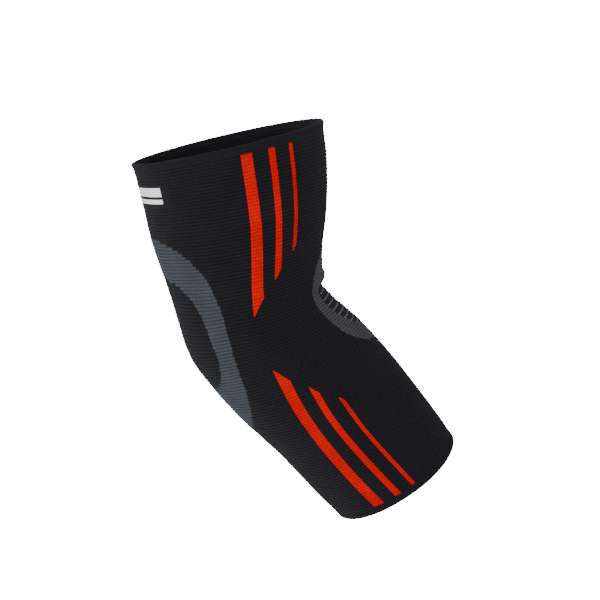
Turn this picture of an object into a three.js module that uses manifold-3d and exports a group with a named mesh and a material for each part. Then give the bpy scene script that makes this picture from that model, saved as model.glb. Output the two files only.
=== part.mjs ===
// Knitted elbow sleeve in its worn form, bent as on a relaxed arm.
// The sleeve is one tube. Its form is a surface of two places: along, from -1 at the upper edge
// through 0 at the elbow to 1 at the lower edge, and around, in degrees, from 0 at the inside of
// the elbow (the crook, +X) over 90 at the near side (-Y) and 180 at the elbow tip (-X).
// Zones knitted in another yarn are separate solids, let into the tube with a small clearance.
import * as THREE from 'three';
import Module from 'manifold-3d';

const wasm = await Module();
wasm.setup();

// Driving dimensions, in millimetres
const UPPER_RADIUS = 54;
const ELBOW_RADIUS = 45;
const FOREARM_RADIUS = 41;
const UPPER_LENGTH = 106;
const FOREARM_LENGTH = 129;
const BEND_RADIUS = 60;
const WALL = 2.4;
const ZONE_THICKNESS = 0.8;
const CLEARANCE = 0.3;
const PANEL_CLEARANCE = 0.6;
const UPPER_HEM = 4;
const LOWER_HEM = 4;
const UPPER_FLARE = 0.6;
const LOWER_FLARE = 0.4;
const STRIPE_TO_EDGE = 5.2;
const WIDE_STRIPE = 6.7;
const MEDIUM_STRIPE = 4.1;
const THIN_STRIPE = 2.6;
const BLUNT_TIP = 0.7;
const CROOK_BAR_HEIGHT = 0.7;

// Driving angles, in degrees: lean of the upper part from upright, and bend of the elbow
const UPPER_LEAN = 8;
const ELBOW_BEND = 35;

// Number of bars across the crook
const CROOK_BARS = 10;

// Facets of the tube: round it, down its outside and down its inside
const AROUND_STEPS = 42;
const OUTER_STEPS = 25;
const INNER_STEPS = 11;

// Facets of the zones: round a ring and across its width, along a stripe, and on the label
const ELBOW_RING_STEPS = 32;
const ELBOW_RING_COLUMNS = 2;
const CROOK_RING_STEPS = 36;
const CROOK_RING_COLUMNS = 1;
const STRIPE_STEPS = 8;
const LABEL_STEPS = 3;
const LABEL_COLUMNS = 10;
const PANEL_COLUMNS = 6;

// Sections down the sleeve: turn is the share of the bend that a row of knitting has taken up,
// and back, crook and side are its half widths as shares of the tube's radius there
const SECTIONS = [
  { along: -1.00, turn: 0.14, back: 1.07, crook: 0.99, side: 0.88 },
  { along: -0.80, turn: 0.07, back: 1.07, crook: 1.02, side: 0.89 },
  { along: -0.55, turn: 0.05, back: 1.085, crook: 0.99, side: 0.91 },
  { along: -0.30, turn: 0.10, back: 1.035, crook: 0.90, side: 0.94 },
  { along: -0.10, turn: 0.20, back: 1.01, crook: 0.88, side: 0.97 },
  { along: 0.10, turn: 0.32, back: 1.08, crook: 1.062, side: 0.99 },
  { along: 0.35, turn: 0.48, back: 1.13, crook: 1.09, side: 0.99 },
  { along: 0.60, turn: 0.62, back: 1.10, crook: 1.05, side: 0.98 },
  { along: 0.85, turn: 0.73, back: 1.12, crook: 0.98, side: 0.96 },
  { along: 1.00, turn: 0.77, back: 1.11, crook: 0.92, side: 0.94 },
];

// Folds where the knit gathers in the crook: lift and reach are shares of the elbow's radius,
// and spread is how far the fold runs round, in degrees
const FOLDS = [
  { along: -0.250, around: 0, lift: 0.012, reach: 0.09, spread: 36 },
  { along: -0.175, around: 0, lift: 0.062, reach: 0.09, spread: 36 },
  { along: -0.122, around: 0, lift: -0.026, reach: 0.08, spread: 44 },
  { along: -0.050, around: 0, lift: 0.012, reach: 0.10, spread: 36 },
];

// Egg-shaped zones: centre round the sleeve, widest place, half width in degrees,
// and how square each end is (2 is an ellipse)
const ELBOW_RING = {
  outer: { centre: 180, top: -0.565, widest: -0.08, bottom: 0.435, half: 56.5, topPower: 2.45, bottomPower: 1.82 },
  inner: { centre: 180, top: -0.345, widest: 0.0, bottom: 0.198, half: 40.3, topPower: 2.6, bottomPower: 2.2 },
};
const CROOK_RING = {
  outer: { centre: 0, top: -0.35, widest: 0.02, bottom: 0.288, half: 49, topPower: 2.8, bottomPower: 2.5 },
  inner: { centre: 0, top: -0.167, widest: -0.03, bottom: 0.185, half: 36.5, topPower: 3.0, bottomPower: 2.0 },
};

// Where the knitted-in label sits on the back of the upper part
const LABEL = { top: -0.88, bottom: -0.74, from: 141, to: 219 };

// Stripes of the near side, from their square end at a hem to their slanted point.
// The far side has their mirror images. slant is the length of the point, as a share of the width
const STRIPES = [
  {
    name: 'upper_wide_stripe', width: WIDE_STRIPE, slant: 1.35, hem: -1, tip: -0.122,
    path: [
      { along: -0.95, around: 91.8 },
      { along: -0.60, around: 91.6 },
      { along: -0.43, around: 93.6 },
      { along: -0.28, around: 96.4 },
      { along: -0.12, around: 98.5 },
    ],
  },
  {
    name: 'upper_medium_stripe', width: MEDIUM_STRIPE, slant: 1.3, hem: -1, tip: -0.285,
    path: [
      { along: -0.95, around: 76.4 },
      { along: -0.62, around: 76.2 },
      { along: -0.45, around: 78.1 },
      { along: -0.28, around: 81.0 },
    ],
  },
  {
    name: 'upper_thin_stripe', width: THIN_STRIPE, slant: 1.3, hem: -1, tip: -0.405,
    path: [
      { along: -0.95, around: 63.0 },
      { along: -0.62, around: 63.0 },
      { along: -0.40, around: 65.8 },
    ],
  },
  {
    name: 'lower_wide_stripe', width: WIDE_STRIPE, slant: 1.4, hem: 1, tip: 0.155,
    path: [
      { along: 0.15, around: 104.5 },
      { along: 0.36, around: 113.4 },
      { along: 0.57, around: 120.0 },
      { along: 0.76, around: 122.2 },
      { along: 0.96, around: 122.4 },
    ],
  },
  {
    name: 'lower_medium_stripe', width: MEDIUM_STRIPE, slant: 1.3, hem: 1, tip: 0.295,
    path: [
      { along: 0.29, around: 95.6 },
      { along: 0.48, around: 102.0 },
      { along: 0.66, around: 104.9 },
      { along: 0.96, around: 105.6 },
    ],
  },
  {
    name: 'lower_thin_stripe', width: THIN_STRIPE, slant: 1.3, hem: 1, tip: 0.400,
    path: [
      { along: 0.40, around: 86.4 },
      { along: 0.62, around: 90.6 },
      { along: 0.96, around: 92.0 },
    ],
  },
];

// Colours and finishes
const FINISHES = {
  black_knit: { color: 0x17181c, roughness: 0.85, metalness: 0 },
  hem_knit: { color: 0x141518, roughness: 0.9, metalness: 0 },
  grey_knit: { color: 0x50565e, roughness: 0.85, metalness: 0 },
  crook_knit: { color: 0x24262a, roughness: 0.85, metalness: 0 },
  orange_knit: { color: 0xdc2c0a, roughness: 0.75, metalness: 0 },
  label_knit: { color: 0x1b1c20, roughness: 0.8, metalness: 0 },
};

const radians = (degrees) => (degrees * Math.PI) / 180;
const mix = (low, high, share) => low + (high - low) * share;

// Slope of a table column at a row, from the rows on each side of it
function slopeAt(rows, name, index) {
  const before = rows[Math.max(index - 1, 0)];
  const after = rows[Math.min(index + 1, rows.length - 1)];
  return (after[name] - before[name]) / (after.along - before.along);
}

// Smooth curve through a table column: a cubic between each two rows that keeps their slopes
function tableValue(rows, name, along) {
  let index = 0;
  while (index < rows.length - 2 && rows[index + 1].along < along) index += 1;
  const [low, high] = [rows[index], rows[index + 1]];
  const span = high.along - low.along;
  const share = Math.min(Math.max((along - low.along) / span, 0), 1);
  const rise = share * share * (3 - 2 * share);
  const lowPull = share * (1 - share) * (1 - share) * span * slopeAt(rows, name, index);
  const highPull = share * share * (1 - share) * span * slopeAt(rows, name, index + 1);
  return mix(low[name], high[name], rise) + lowPull - highPull;
}

// Radius of the tube: the parabola through the three driving radii
function tubeRadius(along) {
  const tilt = (FOREARM_RADIUS - UPPER_RADIUS) / 2;
  const bow = (FOREARM_RADIUS + UPPER_RADIUS) / 2 - ELBOW_RADIUS;
  return ELBOW_RADIUS + tilt * along + bow * along * along;
}

const lengthBeside = (along) => (along < 0 ? UPPER_LENGTH : FOREARM_LENGTH);

// Middle line of the tube: straight, then an arc about a centre on the crook side, then straight
function spinePoint(along) {
  const reach = along * lengthBeside(along);
  const halfArc = (BEND_RADIUS * radians(ELBOW_BEND)) / 2;
  const onArc = Math.min(Math.max(reach, -halfArc), halfArc);
  const middle = radians(UPPER_LEAN + ELBOW_BEND / 2);
  const lean = middle + onArc / BEND_RADIUS;
  return {
    x: BEND_RADIUS * (Math.cos(middle) - Math.cos(lean)) + (reach - onArc) * Math.sin(lean),
    z: BEND_RADIUS * (Math.sin(middle) - Math.sin(lean)) - (reach - onArc) * Math.cos(lean),
  };
}

// Angle brought to between -180 and 180 degrees
const wrapped = (angle) => ((angle + 540) % 360) - 180;

// Height of the folds: each is a bell along and round the sleeve
function foldLift(along, around) {
  let lift = 0;
  for (const fold of FOLDS) {
    const down = ((along - fold.along) * lengthBeside(along)) / (fold.reach * ELBOW_RADIUS);
    const across = wrapped(around - fold.around) / fold.spread;
    lift += fold.lift * ELBOW_RADIUS * Math.exp(-down * down - across * across);
  }
  return lift;
}

// Point of the sleeve's outer surface, or the given distance outside it
function surfacePoint(along, around, out = 0) {
  const spine = spinePoint(along);
  const turn = radians(UPPER_LEAN + ELBOW_BEND * tableValue(SECTIONS, 'turn', along));
  const radius = tubeRadius(along);
  const angle = radians(around);
  const front = Math.cos(angle) > 0 ? 'crook' : 'back';
  const stand = out + foldLift(along, around);
  const reach = (tableValue(SECTIONS, front, along) * radius + stand) * Math.cos(angle);
  const side = (tableValue(SECTIONS, 'side', along) * radius + stand) * Math.sin(angle);
  return new THREE.Vector3(
    spine.x + reach * Math.cos(turn),
    -side,
    spine.z + reach * Math.sin(turn),
  );
}

// Degrees round the sleeve that a length of one millimetre covers
function degreesPerMillimetre(along, around) {
  const step = 1;
  const low = surfacePoint(along, around - step / 2);
  const high = surfacePoint(along, around + step / 2);
  return step / low.distanceTo(high);
}

// Geometry from rows of points: quads join each row to the next, and triangles close open ends
function gridGeometry(rows, wraps) {
  const width = rows[0].length;
  const position = rows.flat().flatMap((point) => [point.x, point.y, point.z]);
  const index = [];
  const rowCount = wraps ? rows.length : rows.length - 1;
  for (let row = 0; row < rowCount; row += 1) {
    const here = row * width;
    const next = ((row + 1) % rows.length) * width;
    for (let column = 0; column < width; column += 1) {
      const beside = (column + 1) % width;
      index.push(here + column, here + beside, next + beside);
      index.push(here + column, next + beside, next + column);
    }
  }
  if (!wraps) {
    const last = (rows.length - 1) * width;
    for (let column = 0; column < width / 2 - 1; column += 1) {
      const under = width - 1 - column;
      index.push(column, under, under - 1, column, under - 1, column + 1);
      index.push(last + column, last + column + 1, last + under - 1);
      index.push(last + column, last + under - 1, last + under);
    }
  }
  const geometry = new THREE.BufferGeometry();
  geometry.setAttribute('position', new THREE.Float32BufferAttribute(position, 3));
  geometry.setIndex(index);
  return geometry;
}

// Ring round the whole tube: a closed profile of places along and distances out is carried round
function bandGeometry(profile) {
  const columns = Array.from({ length: AROUND_STEPS }, (_, step) => (360 * step) / AROUND_STEPS);
  const rows = profile.map(({ along, out }) => columns.map((around) => surfacePoint(along, around, out)));
  return gridGeometry(rows, true);
}

// Zone let into the tube: each row of places gets a top and an underside, joined round its edges
function zoneGeometry(rows, wraps, top, under) {
  const loops = rows.map((row) => [
    ...row.map((place) => surfacePoint(place.along, place.around, top(place))),
    ...[...row].reverse().map((place) => surfacePoint(place.along, place.around, under)),
  ]);
  return gridGeometry(loops, wraps);
}

function toManifold(geometry) {
  const vertProperties = geometry.getAttribute('position').array;
  const triVerts = new Uint32Array(geometry.getIndex().array);
  return new wasm.Manifold(new wasm.Mesh({ numProp: 3, vertProperties, triVerts }));
}

function toGeometry(solid) {
  const mesh = solid.getMesh();
  const geometry = new THREE.BufferGeometry();
  geometry.setAttribute('position', new THREE.Float32BufferAttribute(mesh.vertProperties, 3));
  geometry.setIndex([...mesh.triVerts]);
  return geometry;
}

const group = new THREE.Group();

function addMesh(name, geometry, finish) {
  geometry.computeVertexNormals();
  const mesh = new THREE.Mesh(geometry, new THREE.MeshStandardMaterial(FINISHES[finish]));
  mesh.name = name;
  group.add(mesh);
}

// Zones. Each is made twice: as the piece, and grown by the clearance as the cut for its seat
const seatCuts = [];
const RAISED = 2 * WALL;

function addZone(name, finish, layOut, wraps, top = () => 0) {
  addMesh(name, zoneGeometry(layOut(0), wraps, top, -ZONE_THICKNESS), finish);
  const seatFloor = -ZONE_THICKNESS - CLEARANCE;
  seatCuts.push(toManifold(zoneGeometry(layOut(CLEARANCE), wraps, () => RAISED, seatFloor)));
}

// Half width of an egg-shaped outline, in degrees, and its place along, at a turn round the egg
function eggPlace(egg, turn, grow) {
  const upward = Math.cos(turn) > 0;
  const end = upward ? egg.top - grow / UPPER_LENGTH : egg.bottom + grow / FOREARM_LENGTH;
  const power = 2 / (upward ? egg.topPower : egg.bottomPower);
  const along = mix(egg.widest, end, Math.abs(Math.cos(turn)) ** power);
  const half = egg.half + grow * degreesPerMillimetre(egg.widest, egg.centre + egg.half);
  const across = Math.sign(Math.sin(turn)) * half * Math.abs(Math.sin(turn)) ** power;
  return { along, around: egg.centre + across };
}

// Ring between two eggs, with rows of places from the inner outline to the outer one
function eggRingRows(ring, steps, columns, grow) {
  return Array.from({ length: steps }, (_, step) => {
    const turn = (2 * Math.PI * step) / steps;
    const inner = eggPlace(ring.inner, turn, -grow);
    const outer = eggPlace(ring.outer, turn, grow);
    return Array.from({ length: columns + 1 }, (__, column) => ({
      along: mix(inner.along, outer.along, column / columns),
      around: mix(inner.around, outer.around, column / columns),
    }));
  });
}

function addElbowRing() {
  const rows = (grow) => eggRingRows(ELBOW_RING, ELBOW_RING_STEPS, ELBOW_RING_COLUMNS, grow);
  addZone('elbow_ring', 'grey_knit', rows, true);
}

function addCrookRing() {
  const rows = (grow) => eggRingRows(CROOK_RING, CROOK_RING_STEPS, CROOK_RING_COLUMNS, grow);
  addZone('crook_ring', 'grey_knit', rows, true);
}

// Panel inside the crook ring: bars across the arm, each with a flat crown between two grooves.
// place is a share of the bar's pitch, and crown a share of its height
const BAR_ROWS = [
  { place: 0.00, crown: 0 },
  { place: 0.26, crown: 1 },
  { place: 0.74, crown: 1 },
];
const PANEL_BLUNT = 0.03;

// Half width in degrees of an egg-shaped outline at a place along
function eggHalf(egg, along, grow) {
  const upward = along < egg.widest;
  const end = upward ? egg.top - grow / UPPER_LENGTH : egg.bottom + grow / FOREARM_LENGTH;
  const power = upward ? egg.topPower : egg.bottomPower;
  const away = Math.abs((along - egg.widest) / (end - egg.widest));
  const widest = egg.half + grow * degreesPerMillimetre(egg.widest, egg.centre + egg.half);
  return widest * (1 - away ** power) ** (1 / power);
}

// The panel's seat is grown well into the ring's, so that no sliver stands between them
const SEAT_OVERLAP = 4;

function crookPanelRows(grow) {
  const egg = CROOK_RING.inner;
  const inset = grow * SEAT_OVERLAP - PANEL_CLEARANCE;
  const top = egg.top - inset / UPPER_LENGTH;
  const bottom = egg.bottom + inset / FOREARM_LENGTH;
  const bars = Array.from({ length: CROOK_BARS }, (_, bar) => bar);
  const places = bars.flatMap((bar) => BAR_ROWS.map(({ place, crown }) => ({ place: bar + place, crown })));
  places.push({ place: CROOK_BARS, crown: 0 });
  return places.map(({ place, crown }) => {
    const along = mix(top, bottom, mix(PANEL_BLUNT, 1 - PANEL_BLUNT, place / CROOK_BARS));
    const half = eggHalf(egg, along, inset);
    return Array.from({ length: PANEL_COLUMNS + 1 }, (_, column) => ({
      along,
      around: egg.centre + mix(-half, half, column / PANEL_COLUMNS),
      crown,
    }));
  });
}

function addCrookPanel() {
  const top = (place) => place.crown * CROOK_BAR_HEIGHT;
  addZone('crook_panel', 'crook_knit', crookPanelRows, false, top);
}

// Stripe: two edges beside the path, the one nearer the crook cut away to a slanted point
function stripeRows(stripe, far, grow) {
  const { hem, path } = stripe;
  const hemEnd = hem * (1 - (STRIPE_TO_EDGE - grow) / lengthBeside(hem));
  const tip = stripe.tip - (hem * grow) / lengthBeside(hem);
  const slant = (stripe.slant * stripe.width) / lengthBeside(hem);
  const rows = [];
  for (let step = 0; step <= STRIPE_STEPS; step += 1) {
    const along = mix(Math.min(hemEnd, tip), Math.max(hemEnd, tip), step / STRIPE_STEPS);
    const around = tableValue(path, 'around', along);
    const perMillimetre = degreesPerMillimetre(along, around);
    const half = (stripe.width / 2 + grow) * perMillimetre;
    const toTip = Math.min(Math.abs(along - tip) / slant, 1);
    const cut = mix(stripe.width - BLUNT_TIP, 0, toTip) * perMillimetre;
    const edges = [around - half + cut, around + half];
    const [low, high] = far ? [-edges[1], -edges[0]] : edges;
    rows.push([{ along, around: low }, { along, around: high }]);
  }
  return rows;
}

function addStripes() {
  for (const stripe of STRIPES) {
    addZone(`${stripe.name}_near`, 'orange_knit', (grow) => stripeRows(stripe, false, grow), false);
    addZone(`${stripe.name}_far`, 'orange_knit', (grow) => stripeRows(stripe, true, grow), false);
  }
}

function labelRows(grow) {
  const top = LABEL.top - grow / UPPER_LENGTH;
  const bottom = LABEL.bottom + grow / UPPER_LENGTH;
  const spare = grow * degreesPerMillimetre(LABEL.top, LABEL.from);
  return Array.from({ length: LABEL_STEPS + 1 }, (_, step) => (
    Array.from({ length: LABEL_COLUMNS + 1 }, (__, column) => ({
      along: mix(top, bottom, step / LABEL_STEPS),
      around: mix(LABEL.from - spare, LABEL.to + spare, column / LABEL_COLUMNS),
    }))
  ));
}

function addLabel() {
  addZone('label_patch', 'label_knit', labelRows, false);
}

// Hems: the turned edge stands out a little towards the end and is round at its lip.
// down is a share of the hem's height from the end, and flare a share of how far it stands out
const HEM_SECTIONS = [
  { down: 0.10, flare: 1.0 },
  { down: 0.35, flare: 0.5 },
  { down: 0.65, flare: 0.12 },
  { down: 1.00, flare: 0.0 },
];

function hemProfile(end, height, flare) {
  const place = (down) => end * (1 - (down * height) / lengthBeside(end));
  const outside = HEM_SECTIONS.map((row) => ({ along: place(row.down), out: row.flare * flare }));
  const inside = outside.map(({ along, out }) => ({ along, out: out - WALL })).reverse();
  const lip = { along: end, out: flare - WALL / 2 };
  const profile = [...outside, ...inside, lip];
  return end < 0 ? profile : profile.reverse();
}

function addHems() {
  addMesh('upper_hem', bandGeometry(hemProfile(-1, UPPER_HEM, UPPER_FLARE)), 'hem_knit');
  addMesh('lower_hem', bandGeometry(hemProfile(1, LOWER_HEM, LOWER_FLARE)), 'hem_knit');
}

// Sleeve: the tube between the hems, less a seat for every zone
function addSleeve() {
  const first = -1 + (UPPER_HEM + CLEARANCE) / UPPER_LENGTH;
  const last = 1 - (LOWER_HEM + CLEARANCE) / FOREARM_LENGTH;
  const wall = (steps, out) => Array.from({ length: steps + 1 }, (_, step) => (
    { along: mix(first, last, step / steps), out }
  ));
  const profile = [...wall(OUTER_STEPS, 0), ...wall(INNER_STEPS, -WALL).reverse()];
  let sleeve = toManifold(bandGeometry(profile));
  for (const cut of seatCuts) sleeve = sleeve.subtract(cut);
  addMesh('sleeve', toGeometry(sleeve), 'black_knit');
}

addElbowRing();
addCrookRing();
addCrookPanel();
addStripes();
addLabel();
addHems();
addSleeve();

export default group;
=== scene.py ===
"""Knitted elbow sleeve, bent as it is worn.

The sleeve is a tube of ribbed knit. Every piece lies on one surface of two places: along, from
-1 at the upper edge through 0 at the elbow to 1 at the lower edge, and around, in degrees, from
0 in the crook over 90 at the near side to 180 at the elbow tip. Rows of knitting are courses,
counted down the sleeve from the upper edge, and columns of stitches are wales, counted around.
"""

import math

import bpy
import numpy as np
from bpy.props import FloatProperty, FloatVectorProperty, IntProperty, PointerProperty
from mathutils import Matrix, Vector


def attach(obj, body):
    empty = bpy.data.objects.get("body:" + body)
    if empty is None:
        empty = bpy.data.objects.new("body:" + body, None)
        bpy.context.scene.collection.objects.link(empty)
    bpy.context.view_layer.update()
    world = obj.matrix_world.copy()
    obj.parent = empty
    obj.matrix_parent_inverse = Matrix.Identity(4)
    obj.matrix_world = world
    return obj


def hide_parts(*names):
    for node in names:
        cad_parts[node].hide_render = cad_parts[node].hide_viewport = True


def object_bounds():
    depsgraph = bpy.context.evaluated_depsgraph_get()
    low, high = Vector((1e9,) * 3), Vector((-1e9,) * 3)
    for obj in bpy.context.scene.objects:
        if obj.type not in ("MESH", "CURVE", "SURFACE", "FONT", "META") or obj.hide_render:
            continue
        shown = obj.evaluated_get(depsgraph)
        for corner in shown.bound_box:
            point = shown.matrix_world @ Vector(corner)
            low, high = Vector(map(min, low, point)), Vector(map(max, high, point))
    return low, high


bl_info = {
    "name": "Knitted elbow sleeve",
    "version": (1, 0, 0),
    "blender": (4, 5, 0),
    "location": "3D View > Sidebar > Elbow sleeve",
    "description": "Knits an elbow sleeve with rings, stripes and hems, and sets its stage",
    "category": "Add Mesh",
}

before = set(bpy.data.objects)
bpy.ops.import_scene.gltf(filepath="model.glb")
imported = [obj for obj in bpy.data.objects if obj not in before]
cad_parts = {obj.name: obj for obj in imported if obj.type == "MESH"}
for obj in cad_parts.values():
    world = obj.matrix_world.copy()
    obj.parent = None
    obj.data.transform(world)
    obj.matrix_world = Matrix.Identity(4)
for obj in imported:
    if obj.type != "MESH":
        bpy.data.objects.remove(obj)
CAD_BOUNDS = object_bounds()

# Sizes of the tube, in millimetres and degrees
MM = 0.001
UPPER_RADIUS = 54.0
ELBOW_RADIUS = 45.0
FOREARM_RADIUS = 41.0
UPPER_LENGTH = 106.0
FOREARM_LENGTH = 129.0
BEND_RADIUS = 60.0
UPPER_LEAN = 8.0
ELBOW_BEND = 35.0
WALL = 2.4
UPPER_HEM = 4.0
LOWER_HEM = 4.0
UPPER_FLARE = 0.6
LOWER_FLARE = 0.4
STRIPE_TO_EDGE = 5.2
SEAM_OVERLAP = 0.9

# Sections down the sleeve: turn is the share of the bend that a course has taken up, and back,
# crook and side are its half widths as shares of the tube's radius there
SECTIONS = {
    "along": (-1.00, -0.80, -0.55, -0.30, -0.10, 0.10, 0.35, 0.60, 0.85, 1.00),
    "turn": (0.14, 0.07, 0.05, 0.10, 0.20, 0.32, 0.48, 0.62, 0.73, 0.77),
    "back": (1.07, 1.07, 1.085, 1.035, 1.01, 1.08, 1.13, 1.10, 1.12, 1.11),
    "crook": (0.99, 1.02, 0.99, 0.90, 0.88, 1.062, 1.09, 1.05, 0.98, 0.92),
    "side": (0.88, 0.89, 0.91, 0.94, 0.97, 0.99, 0.99, 0.98, 0.96, 0.94),
}

# Folds where the knit gathers in the crook: lift and reach are shares of the elbow's radius,
# and spread is how far the fold runs round, in degrees
FOLDS = (
    {"along": -0.250, "lift": 0.012, "reach": 0.09, "spread": 36},
    {"along": -0.175, "lift": 0.062, "reach": 0.09, "spread": 36},
    {"along": -0.122, "lift": -0.026, "reach": 0.08, "spread": 44},
    {"along": -0.050, "lift": 0.012, "reach": 0.10, "spread": 36},
)

# Egg-shaped zones: centre round the sleeve, widest place, half width in degrees, and how square
# each end is, where 2 is an ellipse
ELBOW_RING = {
    "outer": {"centre": 180, "top": -0.565, "widest": -0.08, "bottom": 0.435, "half": 56.5,
              "top_power": 2.45, "bottom_power": 1.82},
    "inner": {"centre": 180, "top": -0.345, "widest": 0.0, "bottom": 0.198, "half": 40.3,
              "top_power": 2.6, "bottom_power": 2.2},
}
CROOK_RING = {
    "outer": {"centre": 0, "top": -0.35, "widest": 0.02, "bottom": 0.288, "half": 49,
              "top_power": 2.8, "bottom_power": 2.5},
    "inner": {"centre": 0, "top": -0.167, "widest": -0.03, "bottom": 0.185, "half": 36.5,
              "top_power": 3.0, "bottom_power": 2.0},
}
CROOK_BARS = 10

# The smooth patch on the back of the upper part
LABEL = {"top": -0.88, "bottom": -0.74, "from": 141, "to": 219}

# Stripes of the near side: width in millimetres, wales across it, the edge of the sleeve where it
# starts, the place of its slanted point, that point's length as a share of the width, and the path
# of the middle line. The far side has their mirror images
WIDE = {"width": 6.7, "wales": 5}
MEDIUM = {"width": 4.1, "wales": 3}
THIN = {"width": 2.6, "wales": 2}
BLUNT_TIP = 0.7
STRIPES = (
    {"name": "upper_wide_stripe", **WIDE, "hem": -1, "tip": -0.122, "slant": 1.35,
     "along": (-0.95, -0.60, -0.43, -0.28, -0.12), "around": (91.8, 91.6, 93.6, 96.4, 98.5)},
    {"name": "upper_medium_stripe", **MEDIUM, "hem": -1, "tip": -0.285, "slant": 1.3,
     "along": (-0.95, -0.62, -0.45, -0.28), "around": (76.4, 76.2, 78.1, 81.0)},
    {"name": "upper_thin_stripe", **THIN, "hem": -1, "tip": -0.405, "slant": 1.3,
     "along": (-0.95, -0.62, -0.40), "around": (63.0, 63.0, 65.8)},
    {"name": "lower_wide_stripe", **WIDE, "hem": 1, "tip": 0.155, "slant": 1.4,
     "along": (0.15, 0.36, 0.57, 0.76, 0.96), "around": (104.5, 113.4, 120.0, 122.2, 122.4)},
    {"name": "lower_medium_stripe", **MEDIUM, "hem": 1, "tip": 0.295, "slant": 1.3,
     "along": (0.29, 0.48, 0.66, 0.96), "around": (95.6, 102.0, 104.9, 105.6)},
    {"name": "lower_thin_stripe", **THIN, "hem": 1, "tip": 0.400, "slant": 1.3,
     "along": (0.40, 0.62, 0.96), "around": (86.4, 90.6, 92.0)},
)

# Rounding of one rib across a course: places as shares of the course and heights as shares of
# the rib's height, from the groove over the crown to the next groove
RIB_PLACES = np.array((0.0, 0.2, 0.5, 0.8, 1.0))
RIB_HEIGHTS = np.array((0.0, 0.8, 1.0, 0.8, 0.0))

# Section of a strip that is one rib of a zone: places as shares of its course, over the top and
# back along the underside, and the quads that close the strip's ends
STRIP_PLACES = np.append(RIB_PLACES, (0.96, 0.5, 0.04))
STRIP_CAPS = np.array(((0, 1, 6, 7), (1, 2, 3, 6), (3, 4, 5, 6)))

# How a strip sinks into the black knit at its ends: places as shares of the rounding there, the
# depth of the end in millimetres, and the most of the strip that one rounding takes
END_PLACES = np.array((0.0, 0.25, 0.6))
END_DEPTH = 0.5
MOST_ROUNDING = 0.45

# Unevenness of the knit: heights of the long and the short swells in millimetres, how far a
# course drifts, and over how many courses all three fade away towards the edges
LONG_SWELL = 0.10
SHORT_SWELL = 0.035
DRIFT = 0.12
EVEN_COURSES = 6

# Facets round the tube, outside and inside, and courses to one facet of the inside
TUBE_FACETS = 160
INSIDE_COURSES = 2


def length_property(name, description, default):
    """Property in metres."""
    return FloatProperty(name=name, description=description, default=default, unit="LENGTH")


def yarn_property(name, description, default):
    """Property for a yarn's colour."""
    return FloatVectorProperty(name=name, description=description, default=default,
                               subtype="COLOR", size=3)


class SleeveSettings(bpy.types.PropertyGroup):
    """Sizes and colours of the knit."""
    courses: IntProperty(
        name="Courses", description="Rows of knitting from the upper to the lower edge",
        default=126)
    wales: IntProperty(
        name="Wales", description="Columns of stitches round the sleeve", default=200)
    rib_height: length_property(
        "Rib height", "Depth of the groove between two courses", 0.00042)
    zone_lift: length_property(
        "Zone lift", "How far a zone in another yarn stands out", 0.00014)
    zone_depth: length_property(
        "Zone depth", "How far a zone reaches into the knit", 0.0009)
    stitch_depth: length_property(
        "Stitch depth", "Relief of the single stitches", 0.00016)
    thread_radius: length_property(
        "Thread radius", "Radius of the sewing thread in the hems", 0.00016)
    black_yarn: yarn_property(
        "Black yarn", "Colour of the tube", (0.0096, 0.0088, 0.0120))
    hem_yarn: yarn_property(
        "Hem yarn", "Colour of the hems", (0.0100, 0.0092, 0.0120))
    grey_yarn: yarn_property(
        "Grey yarn", "Colour of the elbow's ring", (0.0475, 0.0520, 0.0655))
    # Painted shade: the crook's ring is the elbow ring's grey yarn, toned for how the light falls
    # in the crook
    crook_shaded_grey_yarn: yarn_property(
        "Grey yarn shaded for the crook", "Colour of the ring in the crook", (0.057, 0.058, 0.068))
    crook_yarn: yarn_property(
        "Crook yarn", "Colour of the bars in the crook", (0.0215, 0.0208, 0.0235))
    line_yarn: yarn_property(
        "Line yarn", "Colour of the lines between the bars", (0.112, 0.114, 0.125))
    orange_yarn: yarn_property(
        "Orange yarn", "Colour of the stripes", (0.54, 0.0008, 0.0015))
    label_yarn: yarn_property(
        "Label yarn", "Colour of the smooth patch", (0.0112, 0.0106, 0.0134))


class StageSettings(bpy.types.PropertyGroup):
    """Place of the camera and strength of the lights."""
    azimuth: FloatProperty(
        name="Azimuth", description="Camera's angle round the sleeve",
        default=math.radians(-14.0), subtype="ANGLE")
    elevation: FloatProperty(
        name="Elevation", description="Camera's angle above the horizon",
        default=math.radians(9.0), subtype="ANGLE")
    distance: length_property(
        "Distance", "From the camera to the sleeve", 0.8)
    floor_drop: length_property(
        "Floor drop", "From the sleeve's lowest point to the floor", 0.08)
    key_power: FloatProperty(
        name="Key light", description="Strength of the large light at the left", default=21.0)
    fill_power: FloatProperty(
        name="Fill light", description="Strength of the light at the right", default=6.0)
    world_light: FloatProperty(
        name="Room light", description="Light that the white room throws on the sleeve",
        default=0.7)
    backdrop: FloatProperty(
        name="Backdrop", description="Brightness of the white room as the camera sees it",
        default=17.0)


# Form of the sleeve

def table_value(places, values, place):
    """Smooth curve through a table: between two rows a cubic that keeps the slopes there, which
    are those of the straight line between the rows before and after."""
    places = np.asarray(places, float)
    values = np.asarray(values, float)
    count = len(places)
    before = np.maximum(np.arange(count) - 1, 0)
    after = np.minimum(np.arange(count) + 1, count - 1)
    slopes = (values[after] - values[before]) / (places[after] - places[before])
    row = np.clip(np.searchsorted(places, place) - 1, 0, count - 2)
    span = places[row + 1] - places[row]
    share = np.clip((place - places[row]) / span, 0, 1)
    rise = share * share * (3 - 2 * share)
    pull = share * (1 - share) * span * ((1 - share) * slopes[row] - share * slopes[row + 1])
    return values[row] + (values[row + 1] - values[row]) * rise + pull


def length_beside(along):
    """Length of the half of the sleeve on which a place lies."""
    return np.where(along < 0, UPPER_LENGTH, FOREARM_LENGTH)


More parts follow.
